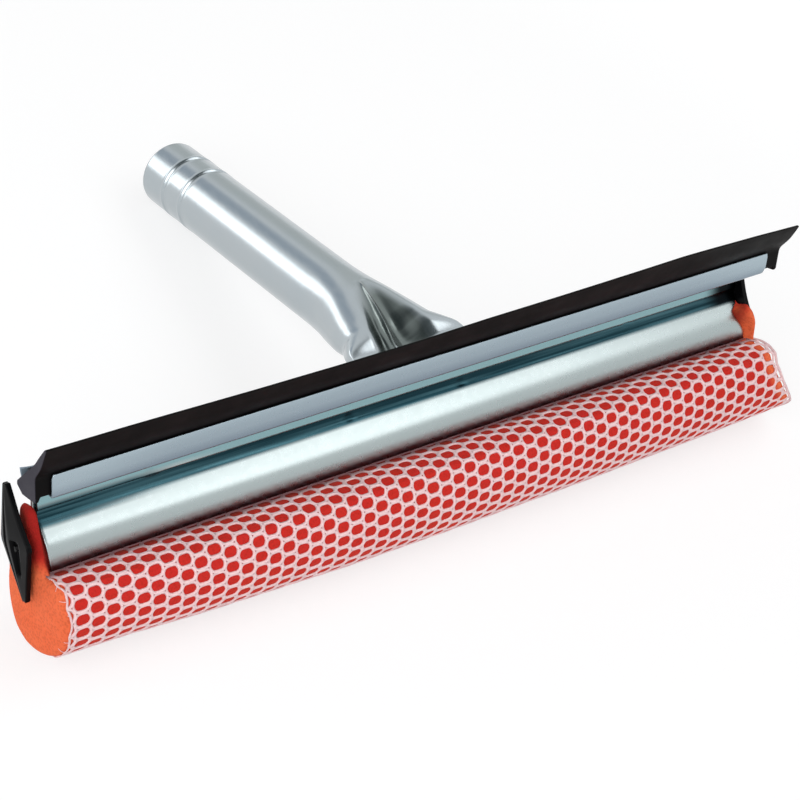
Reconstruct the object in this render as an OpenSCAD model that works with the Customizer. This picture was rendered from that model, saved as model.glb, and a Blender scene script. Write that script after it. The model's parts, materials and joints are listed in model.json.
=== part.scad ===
// Metal-head window squeegee: a rubber blade and a netted sponge held by folded steel
// sheets, on a rolled steel socket that takes a wooden handle.
// The head is drawn with the socket's axis along Y and the blade's length along X.
// Each piece is then laid in the rest pose: sponge and socket mouth on the ground.

/* [Blade] */
// Length of the rubber blade
blade_length = 300; // [240:5:360]
// How far the blade's lip stands above the socket's axis
lip_height = 26.2; // [24:0.2:28]

/* [Metal sheets] */
// Thickness of the folded steel sheet
sheet = 0.8; // [0.6:0.1:0.9]
// How much shorter than the blade its channel is, at each end
channel_inset = 2; // [1:0.5:5]
// How much shorter than the blade the sponge plates are, at each end
plate_inset = 6.4; // [6:0.2:9]
// Thickness of the folded-down end of the socket, two layers of sheet
tab_thickness = 1.6; // [1.2:0.1:1.8]

/* [Handle socket] */
// Outer diameter of the rolled socket tube
socket_diameter = 25.4; // [24:0.2:27]
// Bore that takes the handle
socket_bore = 23.8; // [22.4:0.1:23.8]
// Distance from the blade channel's back corner to the socket's mouth
socket_reach = 165.6; // [130:0.2:190]
// Width of the flattened end that is welded to the head
flare_width = 44.4; // [36:0.4:56]

/* [Sponge] */
// Radius of the foam bulb
bulb_radius = 22.2; // [20:0.1:24]
// Distance from the clip's centre down to the bulb's centre
bulb_drop = 21.1; // [19:0.1:23]
// Forward lean of the sponge's neck from square to the socket
neck_lean = 14; // [10:0.5:16]
// Thickness of the knitted net cover
net_thickness = 0.5; // [0.3:0.1:0.8]
// How much further the sponge reaches underneath than at its neck, on the right
end_slant = 10; // [2:0.5:12]

/* [End clips] */
// Height of the diamond plate
clip_height = 38.4; // [30:0.2:38.4]
// Width of the diamond plate
clip_width = 18.2; // [14:0.2:19]
// Thickness of the diamond plate
clip_thickness = 3; // [2:0.1:3.5]
// Length of the tongue that goes into the foam
tongue_length = 26; // [15:1:40]

/* [Hidden] */

$fn = 64;
eps = 0.01;
bend_parts = 6;          // flats that make up one bend of a sheet
gap = 0.3;               // room round each piece that slides

// Ends along X: the left clip stands off the foam, the right one is let into its slanted end
front_lip_inset = 6;
foam_inset = 3;
left_clip_room = 2.6;
right_clip_room = 0.3;
slant_start = 0.5;       // past the neck's end
net_beyond = 1;
blade_end = blade_length / 2;
channel_end = blade_end - channel_inset;
front_lip_end = blade_end - front_lip_inset;
plate_end = blade_end - plate_inset;
foam_end = blade_end - foam_inset;
clip_left_face = -(foam_end + left_clip_room);
clip_right_face = plate_end + right_clip_room;

// Blade channel, in Y and Z: the bend's middle line and the height of its walls
bend_radius = 0.8;
front_lip_y = -10.9;
front_lip_top = 12.6;
channel_floor = 4.6;
back_wall_y = 1.9;
back_wall_top = 8.3;

// Blade's lip, front and back: [forward of the foot, share of the height above the channel]
lip_front = [[0, 0], [3.7, 0.37], [5.6, 0.7], [7.4, 1]];
lip_back = [[6.6, 1], [2.5, 0.61], [0.3, 0.36]];

// Sponge plates: two sheets laid face to face at the web, spread round the neck below it
web_y = back_wall_y + sheet;
web_top = 7.5;
web_foot = -8.6;
back_web_top = 1;
front_groove = 45;
back_groove = 30;
front_groove_radius = 5.3;
back_groove_radius = 4;
front_flat = 5.2;        // from the groove to the front sheet's shoulder
back_flat = 0.5;
front_shoulder = 11;
back_shoulder = 14;
plate_edge_drop = 9.8;   // lower edges of both plates, measured down the neck
edge_room = 0.5;         // from the plates' edges to the bulb

// Neck and bulb: clip_y, clip_z is the point on the neck's middle where the clips enter
clip_y = 1.5;
clip_z = -17;
neck_top = -13.2;
bulb_y = clip_y - bulb_drop * sin(neck_lean);
bulb_z = clip_z - bulb_drop * cos(neck_lean);
net_radius = bulb_radius + net_thickness;
bulb_start = plate_edge_drop + edge_room;
slant = atan2(end_slant, bulb_drop + bulb_radius - bulb_start);

// Socket: beads rolled near the mouth, and the flare between tube and flattened end
bead_places = [14.8, 26.8];
bead_radius = 0.9;
bead_depth = 0.5;
flare_start = 50;
flare_foot = 12;
flare_thickness = 8.8;
tab_face = web_y + sheet * 1.5;
tab_drop = 8.6;

// Clips: lean of each plate, and its tongue and shoulder in the foam
left_lean = 17;
right_lean = 6;
tip_width = 2;
side_flat = 3;
tongue_thick = 2.4;
tongue_wide = 8;
shoulder_length = 3.4;
shoulder_thick = 3.4;
tongue_centre = -2.6;

// Rest pose: the line under the bulb and the socket's mouth is level, and the origin is in the
// middle of the whole object's length
rest_left = clip_left_face - clip_thickness;
slant_drop = bulb_drop + net_radius - bulb_start;
rest_right = foam_end + slant_start + net_beyond + slant_drop * tan(slant);
mouth_drop = -socket_diameter / 2 - bulb_z;
mouth_run = socket_reach - bulb_y;
rest_tilt = atan2(mouth_drop, mouth_run) + asin(net_radius / norm([mouth_run, mouth_drop]));
rest_front = bulb_y * cos(rest_tilt) + bulb_z * sin(rest_tilt) - net_radius;
rest_back = socket_reach * cos(rest_tilt) + socket_diameter / 2 * sin(rest_tilt);
rest_z = net_radius + bulb_y * sin(rest_tilt) - bulb_z * cos(rest_tilt);

// Turns a piece from the socket's axes to the rest pose
module laid() {
    translate([-(rest_left + rest_right) / 2, -(rest_front + rest_back) / 2, rest_z])
        rotate([-rest_tilt, 0, 0])
            children();
}

// Extrudes an outline given in Y and Z along X
module along_x(from, to) {
    translate([from, 0, 0])
        rotate([90, 0, 90])
            linear_extrude(to - from)
                children();
}

// Puts a shape on the neck's middle line: +X stays along the blade, +Z points up the neck
module on_neck(lean) {
    translate([0, clip_y, clip_z])
        rotate([-lean, 0, 0])
            children();
}

// A place on a sheet's middle line is [y, z, heading]
function bend_points(place, radius, angle) =
    let (side = sign(angle),
         centre = [place[0], place[1]] + side * radius * [-sin(place[2]), cos(place[2])])
    [for (k = [1 : bend_parts])
        let (heading = place[2] + angle * k / bend_parts,
             point = centre + side * radius * [sin(heading), -cos(heading)])
        [point[0], point[1], heading]];

function straight_on(place, run) =
    [place[0] + run * cos(place[2]), place[1] + run * sin(place[2]), place[2]];

// Follows steps of [straight run, bend radius, bend angle] from a place
function follow(place, steps, i = 0) =
    i == len(steps) ? [] :
    let (on = straight_on(place, steps[i][0]),
         made = concat([on], bend_points(on, steps[i][1], steps[i][2])))
    concat(made, follow(made[len(made) - 1], steps, i + 1));

function straight_end(line, run) = [straight_on(line[len(line) - 1], run)];

// Points beside a middle line, at a signed distance to the left of its heading
function beside(line, distance) =
    [for (p = line) [p[0] - distance * sin(p[2]), p[1] + distance * cos(p[2])]];

function backwards(list) = [for (i = [len(list) - 1 : -1 : 0]) list[i]];

function sheet_outline(line) =
    concat(beside(line, sheet / 2), backwards(beside(line, -sheet / 2)));

// Distance left to run along a neck-wise heading until the plate's lower edge
function run_to_edge(place) =
    plate_edge_drop - (clip_y - place[0]) * sin(neck_lean) - (clip_z - place[1]) * cos(neck_lean);

channel_start = [front_lip_y, front_lip_top, -90];
channel_bends = [[front_lip_top - channel_floor - bend_radius, bend_radius, 90],
                 [back_wall_y - front_lip_y - 2 * bend_radius, bend_radius, 90]];
channel_folds = concat([channel_start], follow(channel_start, channel_bends));
channel_line = concat(channel_folds,
                      straight_end(channel_folds, back_wall_top - channel_floor - bend_radius));

front_start = [web_y, web_top, -90];
front_bends = [[web_top - web_foot, front_groove_radius, -front_groove],
               [front_flat, front_shoulder, front_groove - neck_lean]];
front_folds = concat([front_start], follow(front_start, front_bends));
front_line = concat(front_folds,
                    straight_end(front_folds, run_to_edge(front_folds[len(front_folds) - 1])));

back_start = [web_y + sheet, back_web_top, -90];
back_bends = [[back_web_top - web_foot, back_groove_radius, back_groove],
              [back_flat, back_shoulder, -back_groove - neck_lean]];
back_folds = concat([back_start], follow(back_start, back_bends));
back_line = concat(back_folds,
                   straight_end(back_folds, run_to_edge(back_folds[len(back_folds) - 1])));

// Diamond outline of a clip's plate, grown by a margin on every side
function diamond(margin) =
    let (half_w = clip_width / 2 + margin,
         half_h = clip_height / 2 + margin,
         tip = tip_width / 2 + margin,
         flat = side_flat / 2)
    [[tip, half_h], [half_w, flat], [half_w, -flat], [tip, -half_h],
     [-tip, -half_h], [-half_w, -flat], [-half_w, flat], [-tip, half_h]];

module stadium(width, height) {
    hull() {
        translate([-(width - height) / 2, 0]) circle(d = height, $fn = 32);
        translate([(width - height) / 2, 0]) circle(d = height, $fn = 32);
    }
}

// Body between the round tube and the flattened end, thinner all round by an inset
module flare_body(inset) {
    hull() {
        translate([0, flare_start, 0])
            rotate([90, 0, 0]) cylinder(d = socket_diameter - 2 * inset, h = eps);
        translate([0, flare_foot + eps, 0])
            rotate([90, 0, 0])
                linear_extrude(eps) stadium(flare_width - 2 * inset, flare_thickness - 2 * inset);
    }
}

module socket_along_y(diameter, from, to) {
    translate([0, to, 0]) rotate([90, 0, 0]) cylinder(d = diameter, h = to - from);
}

// Rolled tube with two beads, flared and flattened at the head
module handle_socket() {
    color("silver") laid() {
        difference() {
            union() {
                socket_along_y(socket_diameter, flare_start - eps, socket_reach);
                flare_body(0);
                translate([-flare_width / 2 + flare_thickness / 2, tab_face, -flare_thickness / 2])
                    cube([flare_width - flare_thickness, flare_foot - tab_face + eps,
                          flare_thickness]);
            }
            socket_along_y(socket_bore, flare_start - eps, socket_reach + 1);
            flare_body((socket_diameter - socket_bore) / 2);
            for (place = bead_places)
                translate([0, socket_reach - place, 0])
                    rotate([90, 0, 0])
                        rotate_extrude()
                            translate([socket_diameter / 2 + bead_radius - bead_depth, 0])
                                circle(r = bead_radius);
        }
        translate([-flare_width / 2, tab_face, -tab_drop])
            cube([flare_width, tab_thickness, tab_drop + flare_thickness / 2]);
    }
}

// Folded channel that grips the blade's foot; its front lip is cut back at the ends
module blade_channel() {
    color("lightsteelblue") laid()
        difference() {
            along_x(-channel_end, channel_end) polygon(sheet_outline(channel_line));
            for (side = [0, 1])
                mirror([side, 0, 0])
                    translate([front_lip_end, front_lip_y - 2 * sheet, channel_floor - sheet])
                        cube([front_lip_inset, 4 * sheet, front_lip_top]);
        }
}

// Front sheet of the head: a flat web, then a shoulder that curves over the sponge
module sponge_front_plate() {
    color("silver") laid()
        along_x(-plate_end, plate_end) polygon(sheet_outline(front_line));
}

// Back sheet of the head, spread behind the sponge's neck
module sponge_back_plate() {
    color("darkgray") laid()
        along_x(-plate_end, plate_end) polygon(sheet_outline(back_line));
}

// Moulded blade: a wedge-shaped foot in the channel and a lip that leans forward to an edge
module rubber_blade() {
    foot_front = front_lip_y + sheet / 2 + gap;
    foot_back = back_wall_y - sheet / 2 - gap;
    foot_bottom = channel_floor + sheet / 2 + gap;
    lip_foot = front_lip_top + gap;
    lip_outline = [for (p = concat(lip_front, lip_back))
                   [foot_front - p[0], lip_foot + p[1] * (lip_height - lip_foot)]];
    color("#221e1e") laid()
        along_x(-blade_end, blade_end)
            polygon(concat([[foot_back, foot_bottom], [foot_front, foot_bottom]], lip_outline));
}

// Plate, shoulder and tongue of a clip; the tongue points to -X. Grown by a margin it is the room
// the clip needs, which runs on past the plate so that nothing stands in its way out
module clip_body(margin) {
    way_out = margin > 0 ? plate_inset : 0;
    translate([-margin, 0, 0])
        rotate([90, 0, 90])
            linear_extrude(clip_thickness + margin + way_out) polygon(diamond(margin));
    translate([-shoulder_length - margin, -shoulder_thick / 2 - margin,
               tongue_centre - tongue_wide / 2 - margin])
        cube([shoulder_length + margin + eps, shoulder_thick + 2 * margin,
              tongue_wide + 2 * margin]);
    translate([-tongue_length - margin, -tongue_thick / 2 - margin,
               tongue_centre - tongue_wide / 2 - margin])
        cube([tongue_length + margin, tongue_thick + 2 * margin, tongue_wide + 2 * margin]);
}

// A clip in place, on the right side or mirrored to the left, with its plate leaning
module clip_right(margin) {
    translate([clip_right_face, 0, 0]) on_neck(right_lean) clip_body(margin);
}

module clip_left(margin) {
    translate([clip_left_face, 0, 0]) on_neck(left_lean) mirror([1, 0, 0]) clip_body(margin);
}

// Flat space above the plates' lower edges, which the bulb stays out of
module above_edges() {
    on_neck(neck_lean)
        translate([-blade_length, -2 * net_radius, -bulb_start])
            cube([2 * blade_length, 4 * net_radius, 2 * net_radius]);
}

// Space past the slanted right end of the sponge, which starts at the neck's end
module past_slant(room) {
    on_neck(neck_lean)
        translate([foam_end + slant_start + room, -2 * net_radius, -bulb_start])
            rotate([0, -slant, 0])
                translate([0, 0, -4 * net_radius])
                    cube([4 * net_radius, 4 * net_radius, 5 * net_radius]);
}

// Round bulb from its left end to the slant on the right, with room added at the slant
module bulb(radius, from, room) {
    reach = foam_end + 2 * end_slant - from;
    difference() {
        translate([from, bulb_y, bulb_z]) rotate([0, 90, 0]) cylinder(r = radius, h = reach);
        above_edges();
        past_slant(room);
    }
}

// Foam sponge: a round bulb with a neck squeezed between the two plates
module foam_sponge() {
    aside = sheet / 2 + gap;
    neck_front = [for (p = front_line) if (p[1] < neck_top) p];
    neck_back = [for (p = back_line) if (p[1] < neck_top) p];
    low_front = [straight_on(neck_front[len(neck_front) - 1], 2)];
    low_back = [straight_on(neck_back[len(neck_back) - 1], 2)];
    neck = concat(beside(concat(neck_front, low_front), aside),
                  backwards(beside(concat(neck_back, low_back), -aside)));
    color("tomato") laid()
        difference() {
            union() {
                along_x(-foam_end, foam_end) polygon(neck);
                bulb(bulb_radius, -foam_end, 0);
            }
            clip_right(gap);
            clip_left(gap);
        }
}

// Knitted net round the bulb, from just inside the left end to just past the right one
module net_cover() {
    net_left = net_beyond - foam_end;
    color("mistyrose") laid()
        difference() {
            bulb(net_radius, net_left, net_beyond);
            translate([net_left - 1, bulb_y, bulb_z])
                rotate([0, 90, 0]) cylinder(r = bulb_radius, h = 2 * blade_length);
        }
}

module end_clip_left() {
    color("#1c1c1e") laid() clip_left(0);
}

module end_clip_right() {
    color("#1c1c1e") laid() clip_right(0);
}

handle_socket();
blade_channel();
sponge_front_plate();
sponge_back_plate();
rubber_blade();
foam_sponge();
net_cover();
end_clip_left();
end_clip_right();
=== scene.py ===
"""Looks of a metal-head window squeegee: folded zinc-plated sheets and a rolled socket, a moulded
rubber blade, a foam sponge in a knitted net and two moulded end clips."""

import json
import math
from functools import lru_cache
from itertools import product

import bpy
import numpy as np
from bpy.props import FloatProperty, FloatVectorProperty, PointerProperty
from mathutils import Matrix, Quaternion, Vector, noise


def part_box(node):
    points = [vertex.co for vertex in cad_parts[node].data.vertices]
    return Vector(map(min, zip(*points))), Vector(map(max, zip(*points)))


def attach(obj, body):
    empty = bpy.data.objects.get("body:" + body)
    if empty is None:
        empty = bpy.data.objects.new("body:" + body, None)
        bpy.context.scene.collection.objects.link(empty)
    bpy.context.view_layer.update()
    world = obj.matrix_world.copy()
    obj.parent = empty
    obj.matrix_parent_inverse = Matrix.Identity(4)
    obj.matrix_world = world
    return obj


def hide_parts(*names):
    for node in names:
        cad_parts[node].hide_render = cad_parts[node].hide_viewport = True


bl_info = {
    "name": "Window squeegee looks",
    "version": (1, 0, 0),
    "blender": (4, 5, 0),
    "location": "3D View > Sidebar > Squeegee",
    "description": "Builds the visible pieces of a metal-head window squeegee round its CAD frame",
    "category": "Add Mesh",
}

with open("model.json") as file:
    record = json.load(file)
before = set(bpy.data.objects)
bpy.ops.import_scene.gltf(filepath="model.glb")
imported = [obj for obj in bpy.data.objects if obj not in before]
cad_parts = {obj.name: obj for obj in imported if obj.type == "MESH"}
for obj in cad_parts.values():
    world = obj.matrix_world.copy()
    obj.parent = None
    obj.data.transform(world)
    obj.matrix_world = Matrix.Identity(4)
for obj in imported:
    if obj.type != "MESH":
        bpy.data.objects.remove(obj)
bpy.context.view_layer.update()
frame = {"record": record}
MM = 0.001

# The head is drawn with X along the blade, Y along the socket towards its mouth and Z up, in
# millimetres from the channel's back corner. HEAD lays those axes in the rest pose.
SOCKET_REACH = 165.6  # from the channel's back corner to the socket's mouth
MOUNT_INSET = 2.0  # the bore's named place lies this far inside the mouth
FOOT_START, FOOT_END = 10.7, 8.0  # the socket's foot is flat between these, then folds down
TAB_FOOT = -8.4  # how far down the folded tab ends
GROOVES = (14.8, 26.8)  # how far from the mouth the socket's two grooves lie
CLIP_LEFT_FACE, CLIP_LEFT_LEAN = -149.6, 17  # where a clip's plate starts, its lean in degrees
CLIP_RIGHT_FACE, CLIP_RIGHT_LEAN = 143.9, 6
mount = next(m for m in frame["record"]["mounts"] if m["name"] == "handle_socket_bore")
socket_axis = Vector(mount["axis"])
head_origin = Vector(mount["pos_m"]) - socket_axis * (SOCKET_REACH - MOUNT_INSET) * MM
HEAD = Matrix.Translation(head_origin) @ Matrix.Rotation(math.asin(socket_axis.z), 4, "X")

# Neck of the sponge: the clips enter at CLIP_POINT, and the neck leans forward from there
CLIP_POINT = np.array([0.0, 1.5, -17.0])
NECK_LEAN = math.radians(14)
FORWARD = np.array([0.0, -math.cos(NECK_LEAN), math.sin(NECK_LEAN)])
DOWN = np.array([0.0, -math.sin(NECK_LEAN), -math.cos(NECK_LEAN)])
BULB_DROP = 21.1  # from there down to the middle of the bulb
LEDGE = 10.3  # where the neck widens into the bulb, just below the plates' edges
FOAM_LEFT, FOAM_RIGHT = -147.4, 147.0
EDGE_TURN = 1.2  # where the round of the bulb begins, in radians from straight up the neck
EDGE_WIDTH = 9.5  # width of the soft edge between the ledge and the round
NET_START = 6.0  # the net starts at the front plate's lower edge
NET_ROUND = 117.0  # from there round the bulb to the back plate's lower edge
NET_FRONT = 62.0  # the part of it that lies smooth over the front
NET_SHIFT = -2.2  # where the middle opening of the knitting lies along the blade
BAR_HALF, STRAND_HALF = 0.87, 0.7  # half widths of its thick and its thin strands

rubber_low, rubber_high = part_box("rubber_blade")
BLADE_LENGTH = (rubber_high.x - rubber_low.x) / MM


def linear(colour):
    """An sRGB hex colour as linear RGBA."""
    parts = [int(colour[i : i + 2], 16) / 255 for i in (1, 3, 5)]
    return [c / 12.92 if c <= 0.04045 else ((c + 0.055) / 1.055) ** 2.4 for c in parts] + [1.0]


def hue(name, text, colour):
    """A colour that a user would change."""
    return FloatVectorProperty(
        name=name, description=text, subtype="COLOR", size=4, min=0, max=1, default=linear(colour)
    )


def length(name, text, millimetres):
    """A size that a user would change."""
    return FloatProperty(
        name=name, description=text, unit="LENGTH", subtype="DISTANCE", default=millimetres * MM
    )


class SqueegeeSizes(bpy.types.PropertyGroup):
    blade_length: length("Blade length", "Length of the rubber blade", BLADE_LENGTH)
    sheet: length("Sheet", "Thickness of the folded steel sheet", 0.8)
    socket_diameter: length("Socket diameter", "Outer diameter of the rolled socket", 25.4)
    bore: length("Socket bore", "Bore that takes the handle", 23.8)
    lip_height: length("Lip height", "Height of the blade's lip above the socket's axis", 26.2)
    foam_radius: length("Foam radius", "Radius of the foam bulb under the net", 22.15)
    net_pitch: length("Net pitch", "Distance between openings of the net along the blade", 10.3)
    net_rise: length("Net rise", "Distance between openings of the net round the bulb", 5.0)
    yarn: length("Yarn", "How far the net's yarn stands on the foam", 0.38)
    clip_height: length("Clip height", "Height of the clip's diamond plate", 38.4)
    clip_width: length("Clip width", "Width of the clip's diamond plate", 18.2)


class SqueegeeColours(bpy.types.PropertyGroup):
    zinc: hue("Zinc", "Zinc plating of the socket", "#B4BABD")
    zinc_sheet: hue("Zinc sheet", "Zinc plating of the folded sheets", "#ABB6B6")
    # painted shade and reflection: the deep blue-green given to the recess under the channel
    recess_shade_tone: hue("Passivate", "Plating in the recess under the channel", "#1B363E")
    rubber: hue("Rubber", "Moulded rubber of the blade", "#070606")
    foam: hue("Foam", "Foam seen through the net", "#D22C2B")
    foam_end: hue("Foam end", "Cut ends of the foam", "#FA7C50")
    yarn: hue("Yarn", "Polyester yarn of the net", "#FFDEDF")
    plastic: hue("Plastic", "Moulded clips", "#060607")


# ---------------------------------------------------------------- meshes


def soft_noise(x, y, z, size, seed=0.0):
    """Smooth noise from -1 to 1 at a place in millimetres, for bumps of a size in millimetres."""
    return noise.noise(Vector((x / size + seed, y / size - seed, z / size + 2 * seed)))


def piece(name, vertices, faces, finish, body, node, flat=None):
    """Makes a mesh from head millimetres, lays it in the rest pose and ties it to its body. Edges
    that turn by more than flat degrees stay sharp."""
    mesh = bpy.data.meshes.new(name)
    mesh.from_pydata([Vector(v) * MM for v in vertices], [], faces)
    mesh.transform(HEAD)
    mesh.validate()
    mesh.shade_smooth()
    made = bpy.data.objects.new(name, mesh)
    bpy.context.scene.collection.objects.link(made)
    mesh.materials.append(material_for(finish))
    if flat is not None:
        mesh.set_sharp_from_angle(angle=math.radians(flat))
    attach(made, body)
    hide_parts(node)
    return made


def attribute(made, name, values):
    """Keeps a number at each vertex for the material to read."""
    layer = made.data.attributes.new(name, "FLOAT", "POINT")
    layer.data.foreach_set("value", np.asarray(values, np.float32))


def even_normals(made):
    """Lets large faces set the shading normals, so that small edge faces read as rounded."""
    weighted = made.modifiers.new("Even normals", "WEIGHTED_NORMAL")
    weighted.keep_sharp = True
    weighted.weight = 50


def grid_faces(rows, columns, start=0, wrap=False, turned=False):
    """Faces between neighbouring points of a grid; wrap closes each row into a loop."""
    faces = []
    for i in range(rows - 1):
        for j in range(columns if wrap else columns - 1):
            a = start + i * columns + j
            b = start + i * columns + (j + 1) % columns
            face = (a, b, b + columns, a + columns)
            faces.append(face[::-1] if turned else face)
    return faces


def folded_line(place, heading, steps):
    """Middle line of a folded sheet, as rows of y, z, heading and distance along it. Each step is
    a straight run, a bend radius and a bend angle in degrees."""
    y, z = place
    angle, run_so_far = math.radians(heading), 0.0
    line = [(y, z, angle, 0.0)]
    for run, radius, bend in steps:
        parts = max(1, math.ceil(run / 1.5))
        for _ in range(parts if run else 0):
            y += run / parts * math.cos(angle)
            z += run / parts * math.sin(angle)
            run_so_far += run / parts
            line.append((y, z, angle, run_so_far))
        parts = math.ceil(abs(bend) / 7)
        for _ in range(parts):
            turn = math.radians(bend) / parts
            side = 1 if bend > 0 else -1
            cy, cz = y - side * radius * math.sin(angle), z + side * radius * math.cos(angle)
            angle += turn
            y, z = cy + side * radius * math.sin(angle), cz - side * radius * math.cos(angle)
            run_so_far += abs(turn) * radius
            line.append((y, z, angle, run_so_far))
    return np.array(line)


def contour(points):
    """An end of a sheet: how far it reaches along X at each distance along the folded line."""
    along, reach = zip(*points)
    return lambda s: np.interp(s, along, reach)


def unit(v):
    """Vectors made one long, along their last axis."""
    return v / np.maximum(np.linalg.norm(v, axis=-1, keepdims=True), 1e-9)


def rim_of(rows, columns):
    """Row and column of the points round the rim of a grid."""
    return (
        [(0, j) for j in range(columns)]
        + [(i, columns - 1) for i in range(1, rows)]
        + [(rows - 1, j) for j in range(columns - 2, -1, -1)]
        + [(i, 0) for i in range(rows - 2, 0, -1)]
    )


def slab(front, back, edge):
    """Closed plate between two grids of points, its rim rounded over an edge width."""
    rows, columns = front.shape[:2]
    ring = rim_of(rows, columns)
    sides, rims = [], []
    for grid, other in ((front, back), (back, front)):
        inward = np.zeros_like(grid)
        inward[0] += grid[1] - grid[0]
        inward[-1] += grid[-2] - grid[-1]
        for end, near in ((0, 1), (-1, -2)):
            inward[:, end] += unit(grid[:, near] - grid[:, end])
        sides.append(grid + edge * unit(inward))
        through = unit(other - grid)
        rims.append(np.array([grid[i, j] + through[i, j] * edge for i, j in ring]))
    vertices = np.concatenate([sides[0].reshape(-1, 3), sides[1].reshape(-1, 3), *rims])
    count, n = rows * columns, len(ring)
    faces = grid_faces(rows, columns) + grid_faces(rows, columns, count, turned=True)
    first = [i * columns + j for i, j in ring]
    bands = [first, range(2 * count, 2 * count + n), range(2 * count + n, 2 * (count + n))]
    bands.append([count + v for v in first])
    for upper, lower in zip(bands, bands[1:]):
        for k in range(n):
            m = (k + 1) % n
            faces.append((upper[m], upper[k], lower[k], lower[m]))
    return vertices, faces


def folded_sheet(line, left, right, thickness, shape, parts):
    """Closed sheet folded along a line between two end contours, in a number of parts along X.
    shape(x, s) gives how far it stands proud at x and a distance s along the line, as a weld's dent
    does. Also returns each vertex's distance along."""
    share = np.linspace(0, 1, parts + 1)
    front, back = (np.zeros((len(line), parts + 1, 3)) for _ in range(2))
    for i, (y, z, heading, s) in enumerate(line):
        xs = left(s) + share * (right(s) - left(s))
        proud = np.array([shape(x, s) for x in xs])
        for grid, side in ((front, 0.5), (back, -0.5)):
            out = thickness * side + proud
            grid[i, :, 0] = xs
            grid[i, :, 1] = y + out * math.sin(heading)
            grid[i, :, 2] = z - out * math.cos(heading)
    vertices, faces = slab(front, back, min(0.2, thickness * 0.3))
    along = np.repeat(line[:, 3], parts + 1)
    rim = line[[i for i, _ in rim_of(len(line), parts + 1)], 3]
    return vertices, faces, np.concatenate([along, along, rim, rim])


def loft(loops):
    """Closed skin over loops that all have the same number of points."""
    loops = np.array(loops)
    rows, columns = loops.shape[:2]
    faces = grid_faces(rows, columns, wrap=True)
    faces.append(tuple(range(columns))[::-1])
    faces.append(tuple(range((rows - 1) * columns, rows * columns)))
    return loops.reshape(-1, 3), faces


def rounded(points, radius, parts):
    """A closed outline in two axes with its corners rounded; radius is one or one a corner."""
    points = np.array(points, float)
    made = []
    for k, (corner, reach) in enumerate(zip(points, np.broadcast_to(radius, len(points)))):
        back, on = points[k - 1] - corner, points[(k + 1) % len(points)] - corner
        reach = min(reach, np.linalg.norm(back) * 0.45, np.linalg.norm(on) * 0.45)
        start, end = corner + unit(back) * reach, corner + unit(on) * reach
        for t in np.linspace(0, 1, parts + 1):
            made.append((1 - t) ** 2 * start + 2 * t * (1 - t) * corner + t * t * end)
    return np.array(made)


def smooth_step(low, high, value):
    """Goes smoothly from 0 to 1 while the value goes from low to high."""
    t = np.clip((value - low) / (high - low), 0, 1)
    return t * t * (3 - 2 * t)


# ---------------------------------------------------------------- materials


def add(tree, kind, inputs=(), **settings):
    """Adds a node with its settings; inputs are values or the sockets that feed it."""
    made = tree.nodes.new(kind)
    for name, value in settings.items():
        setattr(made, name, value)
    for socket, value in dict(inputs).items():
        if isinstance(value, bpy.types.NodeSocket):
            tree.links.new(value, made.inputs[socket])
        else:
            made.inputs[socket].default_value = value
    return made


def new_material(name):
    """An empty material made of nodes."""
    material = bpy.data.materials.new(name)
    material.use_nodes = True
    material.node_tree.nodes.clear()
    return material


def shaded(tree, kind, inputs):
    """Ends a material with its shader."""
    shader = add(tree, kind, inputs)
    add(tree, "ShaderNodeOutputMaterial", {"Surface": shader.outputs[0]})


def grain(tree, sizes, detail):
    """Noise over a piece, with patches of a size in millimetres, or of one each along X, Y, Z."""
    place = add(tree, "ShaderNodeTexCoord").outputs["Object"]
    scale = [1 / (size * MM) for size in np.broadcast_to(sizes, 3)]
    placed = add(tree, "ShaderNodeMapping", {0: place, "Scale": scale}).outputs[0]
    return add(tree, "ShaderNodeTexNoise", {0: placed, "Scale": 1.0, "Detail": detail}).outputs[0]


def cells(tree, size):
    """Distance from the middle of the nearest of many cells of a size in millimetres."""
    place = add(tree, "ShaderNodeTexCoord").outputs["Object"]
    made = add(tree, "ShaderNodeTexVoronoi", {0: place, "Scale": 1 / (size * MM)})
    return made.outputs["Distance"]


def kept(tree, name):
    """A number kept at the piece's vertices."""
    return add(tree, "ShaderNodeAttribute", attribute_name=name).outputs["Fac"]


def blend(tree, share, first, last):
    """The colour between two, by a share from 0 to 1."""
    ends = [linear(c) if isinstance(c, str) else c for c in (first, last)]
    inputs = {0: share, 6: ends[0], 7: ends[1]}
    return add(tree, "ShaderNodeMix", inputs, data_type="RGBA").outputs[2]


def ranged(tree, value, low, high, first=0.0, last=1.0):
    """Goes from first to last while the value goes from low to high."""
    inputs = {0: value, 1: low, 2: high, 3: first, 4: last}
    return add(tree, "ShaderNodeMapRange", inputs).outputs[0]


def bump(tree, height, strength, depth, under=None):
    """Relief of a depth in millimetres, over another one where there is one."""
    inputs = {"Height": height, "Strength": strength, "Distance": depth * MM}
    if under is not None:
        inputs["Normal"] = under
    return add(tree, "ShaderNodeBump", inputs).outputs[0]


def rolled_zinc(tree, colours):
    """Bright electroplated zinc on rolled and pressed tube: mirror-like but a little soft, with faint
    draw lines along the tube and a cloudy blue-grey chromate coat. The valleys of the flare and its
    crease are painted a dull grey, a painted shade that darkens their reflections and dims the
    crease's highlight."""
    # real draw lines are a few hundredths of a millimetre wide, too fine to see, so these are
    # about 1 mm wide and 40 mm long
    lines = grain(tree, (1.1111, 40, 1.1111), 3)
    cloud = grain(tree, 11.111, 3)
    tint = blend(tree, cloud, colours.zinc, "#AEB7BC")
    shaded(
        tree,
        "ShaderNodeBsdfPrincipled",
        {
            # painted shade: dull grey over the flare's valleys and along its crease
            "Base Color": blend(tree, kept(tree, "pressed"), tint, "#737B79"),
            "Metallic": 1.0,
            "Roughness": ranged(tree, lines, 0.3, 0.7, 0.2, 0.26),
            "Normal": bump(tree, cloud, 0.12, 0.3, bump(tree, lines, 0.08, 0.03)),
        },
    )


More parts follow.
